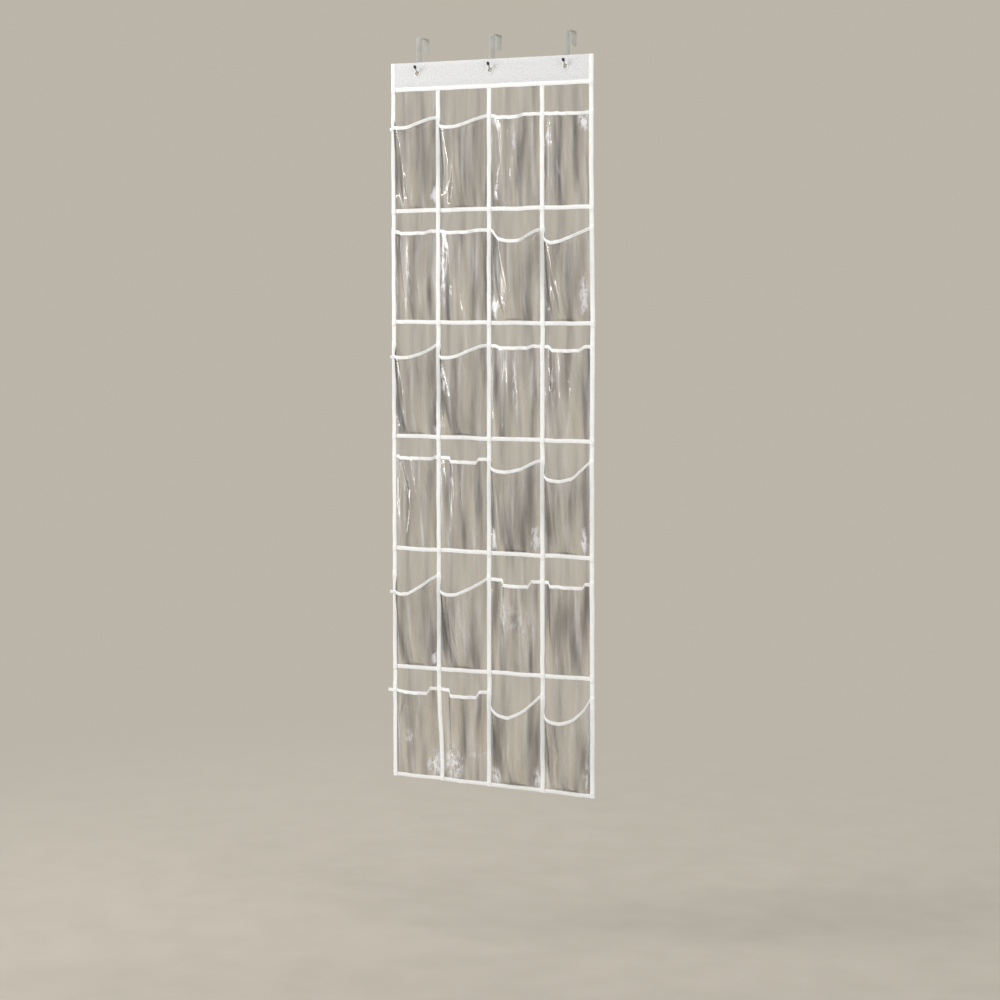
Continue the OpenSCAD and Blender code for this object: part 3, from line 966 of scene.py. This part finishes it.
def header_grid():
    """Lines across and up the header, with a square of cells round each eyelet."""
    edges = [-INNER_X]
    for x in HOOK_X:
        edges += list(np.linspace(edges[-1], x - PATCH, max(2, round((x - PATCH - edges[-1]) / 4)) + 1)[1:])
        edges += list(np.linspace(x - PATCH, x + PATCH, PATCH_CELLS + 1)[1:])
    edges += list(np.linspace(edges[-1], INNER_X, 15)[1:])
    heights = list(np.linspace(FOLDS[0] + FOLD_GAP, EYELET_Z - PATCH, 8))
    heights += list(np.linspace(EYELET_Z - PATCH, EYELET_Z + PATCH, PATCH_CELLS + 1)[1:])
    heights += list(np.linspace(EYELET_Z + PATCH, HEADER_TOP - CLOTH_MIDDLE, 5)[1:])
    return np.array(edges), np.array(heights)


def round_holes(x, z):
    """Draws the grid's points in each square towards circles, the innermost ring onto the hole's edge."""
    for hook_x in HOOK_X:
        a, b = (x - hook_x) / PATCH, (z - EYELET_Z) / PATCH
        ring = np.maximum(np.abs(a), np.abs(b))
        inside = (ring < 0.999) & (ring > 0.01)
        share = np.clip((1 - ring) / (1 - HOLE_RING), 0, 1)
        span = np.maximum(np.hypot(a, b), 1e-6)
        radius = HOLE_R / PATCH * ring / HOLE_RING
        scale = (1 - share) + share * radius / span
        x = np.where(inside, hook_x + a * scale * PATCH, x)
        z = np.where(inside, EYELET_Z + b * scale * PATCH, z)
    return x, z


def header_bulge(x, z):
    """How far the cloth swells off the board: nothing at the seams and eyelets, a little between."""
    side = smoothstep((INNER_X - np.abs(x)) / 14)
    rim = smoothstep((HEADER_TOP - z) / 7) * smoothstep((z - FOLDS[0] - SEAM_H) / 9)
    near = np.ones_like(x)
    for hook_x in HOOK_X:
        near = near * smoothstep((np.hypot(x - hook_x, z - EYELET_Z) - 8.5) / 16)
    return side * rim * near * (0.55 + 0.3 * wobble(x / 52, z / 24, 4.2))


def header_cloth(facing, name, node_name):
    """One face of the header, turned in over its top edge, with a hole at each eyelet."""
    x, heights = header_grid()
    turns = np.radians(np.linspace(18, 90, 5))
    z = np.concatenate([heights, heights[-1] + CLOTH_MIDDLE * np.sin(turns)])
    out = np.concatenate([np.full(len(heights), CLOTH_MIDDLE), CLOTH_MIDDLE * np.cos(turns)])
    across, up = np.meshgrid(x, z)
    skip = []
    first_z = int(np.searchsorted(z, EYELET_Z - HOLE_RING * PATCH - 0.01))
    hole_cells = range(int(PATCH_CELLS * HOLE_RING))
    for hook_x in HOOK_X:
        first_x = int(np.searchsorted(x, hook_x - HOLE_RING * PATCH - 0.01))
        skip += [(first_z + i, first_x + k) for i in hole_cells for k in hole_cells]
    across, up = round_holes(across, up)
    depth = out[:, None] + header_bulge(across, up) * (1 if facing > 0 else 0.5)
    shape = Shape()
    shape.slab(place(across, facing * depth, up), CLOTH_T, u=x, v=z, skip=skip)
    made = finished(shape, name, HEADER_CLOTH, node_name, "header")


def header_bindings():
    z = np.linspace(HEADER_TOP + 0.3, FOLDS[0] + 0.15, 40)
    over_seam = smoothstep((FOLDS[0] + SEAM_H + 2 - z) / 3)
    thinner = 0.3 * (z < FOLDS[0] + LAP + 0.3)  # where the first row's tape laps it
    shape = Shape()
    for side in (-1, 1):
        bind_edge(shape, side, z, 1.62 + 0.62 * over_seam - thinner, thinner - 1.5, 0.45)
    finished(shape, "header_edge_tapes", TAPE, "header_bindings", "header")


def lathe(shape, profile, centre_x, segments=64):
    """A closed profile of (radius, out) turned about an eyelet's axis."""
    radius, out = np.array(profile).T
    angles = np.linspace(0, 2 * np.pi, segments, endpoint=False)
    rings = [place(centre_x + radius * np.cos(a), out, EYELET_Z + radius * np.sin(a)) for a in angles]
    u = lengths(np.array([*profile, profile[0]]))
    v = np.linspace(0, 2 * np.pi * radius.mean(), segments + 1)
    shape.tube(np.stack(rings), u=u, v=v, ring_ends=True)


EYELET_R = 4.5
RIM_R = 8.1
RIM_PROFILE = [
    (EYELET_R, -1.2), (EYELET_R, 1.0), (4.6, 1.35), (4.9, 1.6), (5.4, 1.75), (6.2, 1.82), (7.0, 1.76),
    (7.6, 1.6), (8.0, 1.35), (RIM_R, 1.12), (7.95, 1.0), (5.1, 1.0), (5.1, -1.5), (5.5, -1.55),
    (5.9, -1.6), (6.0, -1.75), (5.8, -1.9), (5.3, -1.98), (4.8, -1.9), (4.55, -1.65),
]
WASHER_PROFILE = [
    (5.15, -1.02), (RIM_R, -1.02), (RIM_R + 0.05, -1.2), (7.95, -1.38), (7.4, -1.46), (5.15, -1.46),
]


def eyelets():
    for name, node_name, profile in (
        ("eyelet_rims", "eyelets", RIM_PROFILE),
        ("eyelet_washer_rings", "eyelet_washers", WASHER_PROFILE),
    ):
        shape = Shape()
        for x in HOOK_X:
            lathe(shape, profile, x)
        finished(shape, name, NICKEL, node_name, "header", sharp=60)


# ---------------- hooks

STEEL_T = 1.2
LIP_H = 32
LIP_CORNER = 3
NECK_H = 6
TONGUE_W = 3.4
J_SLANT = math.radians(220)
J_END = 12
BEND_R = 0.5
CAP_H = 6
CAP_T = 0.6
CAP_SWELL = (1.2, 0.5)  # how much the dip adds besides: to the width, and to half the thickness


def rounded(half_w, half_t, corner):
    """Ring points of a rounded strip section, as (across, through)."""
    ring = []
    for sx, sz, start in ((1, 1, 0), (-1, 1, 90), (-1, -1, 180), (1, -1, 270)):
        for step in (0, 30, 60, 90):
            a = math.radians(start + step)
            across = sx * (half_w - corner) + corner * math.cos(a)
            ring.append((across, sz * (half_t - corner) + corner * math.sin(a)))
    return ring


def hook_path():
    """The strip's middle line in side view, from the lip's end to the J's tip: (y, z, width) rows."""
    wide = high("door_hook_center", X) - low("door_hook_center", X)
    leg = high("door_hook_center", Y) - STEEL_T / 2
    top = STEEL_T / 2
    j_r = -high("door_hook_center", Y) - SHEET_Y
    j_z = low("door_hook_center", Z) + j_r + STEEL_T
    mid_r = j_r + STEEL_T / 2
    bend = BEND_R + STEEL_T / 2
    rows = [(leg, -LIP_H, wide - 2 * LIP_CORNER), (leg, -LIP_H + LIP_CORNER, wide)]
    rows += [(leg, z, wide) for z in np.linspace(-LIP_H + LIP_CORNER, top - bend, 7)[1:]]
    turn = np.radians(np.linspace(0, 90, 7))
    rows += [(leg - bend + bend * math.cos(a), top - bend + bend * math.sin(a), wide) for a in turn[1:]]
    rows += [(bend - leg + (1 - share) * 2 * (leg - bend), top, wide) for share in (0.25, 0.5, 0.75, 1)]
    rows += [(bend - leg - bend * math.sin(a), top - bend + bend * math.cos(a), wide) for a in turn[1:]]
    neck_z = j_z + 2
    rows += [(-leg, z, wide) for z in np.linspace(top - bend, neck_z + NECK_H, 9)[1:]]
    rows += [(-leg, neck_z + NECK_H * (1 - s), wide + (TONGUE_W - wide) * s) for s in (0.25, 0.5, 0.75, 1)]
    sweep = np.linspace(2 * math.pi, J_SLANT, 26)
    rows += [(SHEET_Y + mid_r * math.cos(a), j_z + mid_r * math.sin(a), TONGUE_W) for a in sweep]
    tip_y, tip_z = rows[-1][:2]
    for share in (0.25, 0.5, 0.75, 1):
        s = share * J_END
        rows.append((tip_y + s * math.sin(J_SLANT), tip_z - s * math.cos(J_SLANT), TONGUE_W))
    return np.array(rows)


def strip_rings(path, centre_x, thick, corner):
    """Rings of a strip section along rows of (y, z, width), square to the path."""
    run = np.gradient(path[:, :2], axis=0)
    run /= np.linalg.norm(run, axis=1, keepdims=True)
    rings = []
    for (y, z, wide), (dy, dz), half_t in zip(path, run, thick):
        ring = rounded(wide / 2, half_t, min(corner, 0.9 * half_t))
        rings.append([(centre_x + a, y - dz * b, z + dy * b) for a, b in ring])
    return np.array(rings)


def hooks():
    path = hook_path()
    for side, x in zip(SIDES, HOOK_X):
        shape = Shape()
        shape.tube(strip_rings(path, x, np.full(len(path), STEEL_T / 2), 0.32))
        finished(shape, f"steel_hook_{side}", STEEL, f"door_hook_{side}", "hooks", sharp=50)


def hook_tips():
    """Dark dipped ends: a sleeve over the tongue that closes in a round tip."""
    path = hook_path()
    tip = path[-1, :2]
    ahead = np.array([math.sin(J_SLANT), -math.cos(J_SLANT)])
    shape = Shape()
    full_w, full_t = TONGUE_W + 2 * CAP_T + CAP_SWELL[0], STEEL_T / 2 + CAP_T + CAP_SWELL[1]
    steps = [(-CAP_H, 0.80), (-CAP_H + 0.3, 0.94), (-CAP_H + 1, 1), (-2, 1), (0, 1.02)]
    steps += [(full_t * math.sin(a), math.cos(a)) for a in np.radians((20, 40, 60, 75, 86))]
    rows = [(*(tip + ahead * s), full_w * (0.35 + 0.65 * share)) for s, share in steps]
    thick = np.array([full_t * share for _, share in steps])
    for x in HOOK_X:
        shape.tube(strip_rings(np.array(rows), x, thick, 0.85))
    finished(shape, "hook_tip_sleeves", TIP, "hook_tip_caps", "hooks", sharp=70)


# ---------------- stage, lights and camera

BACKDROP = (0.500, 0.462, 0.398)
FLOOR_Z = -2.032  # the foot of a standard door, whose top edge is at 0
FLOOR_R = 14.0


def floor():
    """A plain pale disc that fades into the backdrop's colour far from the object."""
    made, tree = new_material("pale_floor")
    centre = object_place(tree, (1, 1, 0))
    far = node(tree, "VectorMath", {0: centre}, operation="LENGTH").outputs["Value"]
    span = {"Value": far, "From Min": 0.5, "From Max": 3.2}
    fade = node(tree, "MapRange", span, interpolation_type="SMOOTHSTEP")
    grain = noise_of(tree, object_place(tree, (9, 9, 9)), 4)
    tone = ramp_of(tree, grain, [(0.3, (0.385, 0.350, 0.295)), (0.7, (0.415, 0.378, 0.320))])
    matt = node(tree, "BsdfPrincipled", {"Base Color": tone, "Roughness": 0.7}).outputs[0]
    glow = node(tree, "Emission", {"Color": (*BACKDROP, 1), "Strength": 1.0}).outputs[0]
    show(tree, node(tree, "MixShader", {0: fade.outputs[0], 1: matt, 2: glow}).outputs[0])
    mesh = bpy.data.meshes.new("floor")
    angles = np.linspace(0, 2 * np.pi, 96, endpoint=False)
    rim = [(FLOOR_R * math.cos(a), FLOOR_R * math.sin(a), FLOOR_Z) for a in angles]
    mesh.from_pydata(rim, [], [list(range(len(rim)))])
    mesh.materials.append(made)
    disc = bpy.data.objects.new("floor", mesh)
    bpy.context.scene.collection.objects.link(disc)


def surroundings():
    """The camera sees the plain backdrop; light and reflections come from a soft, banded studio."""
    world = bpy.data.worlds.new("studio")
    world.use_nodes = True
    tree = world.node_tree
    tree.nodes.clear()
    toward = node(tree, "TexCoord").outputs["Generated"]
    parts = node(tree, "SeparateXYZ", {0: toward})
    upright = node(tree, "Mapping", {"Vector": toward, "Scale": (2.6, 2.6, 0.35)}).outputs[0]
    steps = [(0.35, grey(0.16)), (0.5, grey(0.42)), (0.65, grey(0.85))]
    level = ramp_of(tree, noise_of(tree, upright, 1), steps)
    upward = math_of(tree, "ADD", 0.85, math_of(tree, "MULTIPLY", parts.outputs[2], 0.35))
    studio = node(tree, "Background", {"Color": level, "Strength": upward}).outputs[0]
    seen = node(tree, "Background", {"Color": (*BACKDROP, 1), "Strength": 1.0}).outputs[0]
    camera_ray = node(tree, "LightPath").outputs["Is Camera Ray"]
    mixed = node(tree, "MixShader", {0: camera_ray, 1: studio, 2: seen}).outputs[0]
    output = tree.nodes.new("ShaderNodeOutputWorld")
    tree.links.new(mixed, output.inputs["Surface"])
    bpy.context.scene.world = world


MIDDLE = (0, 0, -0.85)  # of the organizer


def panel(name, place_at, size, power, glossy=True):
    """A rectangular light aimed at the middle of the organizer; without glossy it makes no reflections."""
    data = bpy.data.lights.new(name, "AREA")
    data.shape = "RECTANGLE"
    data.size, data.size_y = size
    data.energy = power
    made = bpy.data.objects.new(name, data)
    made.location = place_at
    made.visible_camera = False
    made.visible_glossy = glossy
    made.rotation_euler = (Vector(MIDDLE) - made.location).to_track_quat("-Z", "Y").to_euler()
    bpy.context.scene.collection.objects.link(made)


def lights():
    panel("key", (-3.4, -3.0, 1.2), (1.8, 2.8), 150, glossy=False)
    panel("fill", (3.6, -2.4, 0.2), (1.2, 3.0), 45, glossy=False)
    panel("overhead", (0.2, -0.6, 2.6), (2.4, 1.6), 26, glossy=False)
    panel("rear_left", (-2.8, 3.0, 0.8), (1.4, 2.6), 80, glossy=False)
    panel("rear_right", (2.8, 2.6, 0.3), (0.9, 2.6), 48, glossy=False)
    panel("glint_side", (-2.7, -1.3, -0.7), (0.10, 1.7), 14)
    panel("glint_high", (-1.7, -2.0, 1.6), (0.5, 0.12), 7)


CAMERA_AT = (2.179, -4.686, -0.617)
CAMERA_PITCH = 4.52  # degrees down
CAMERA_YAW = 24.83  # degrees left of +Y
CAMERA_LENS = 83.58
SENSOR = 36


def camera():
    data = bpy.data.cameras.new("camera")
    data.lens = CAMERA_LENS
    data.sensor_width = SENSOR
    made = bpy.data.objects.new("camera", data)
    made.location = CAMERA_AT
    made.rotation_euler = (math.radians(90 - CAMERA_PITCH), 0, math.radians(CAMERA_YAW))
    bpy.context.scene.collection.objects.link(made)
    bpy.context.scene.camera = made


# ---------------- the whole scene

camera()
hooks()
hook_tips()
header_cloth(1, "header_cloth_front", "header_front")
header_cloth(-1, "header_cloth_back", "header_back")
header_bindings()
seam_run("header_lower_tape", "header_seam_tape", "header", FOLDS[0] + 0.1, HEADER_SEAM_FACE, 5.0)
eyelets()
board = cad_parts["header_board"]
board.data.materials.clear()
board.data.materials.append(BOARD)
for number in ROWS:
    back_film(number)
    pocket_film(number)
    mouth_tape(number)
    divider_tapes(number)
    edge_bindings(number)
    if number < ROWS[-1]:
        run = f"seam_tape_run_{number}"
        seam_run(run, f"seam_tape_{number}", f"row_{number}", FOLDS[number], SEAM_FACE, number)
hem_tape()
floor()
surroundings()
lights()
bpy.context.scene.view_settings.view_transform = "Standard"
bpy.context.scene.cycles.transparent_max_bounces = 48
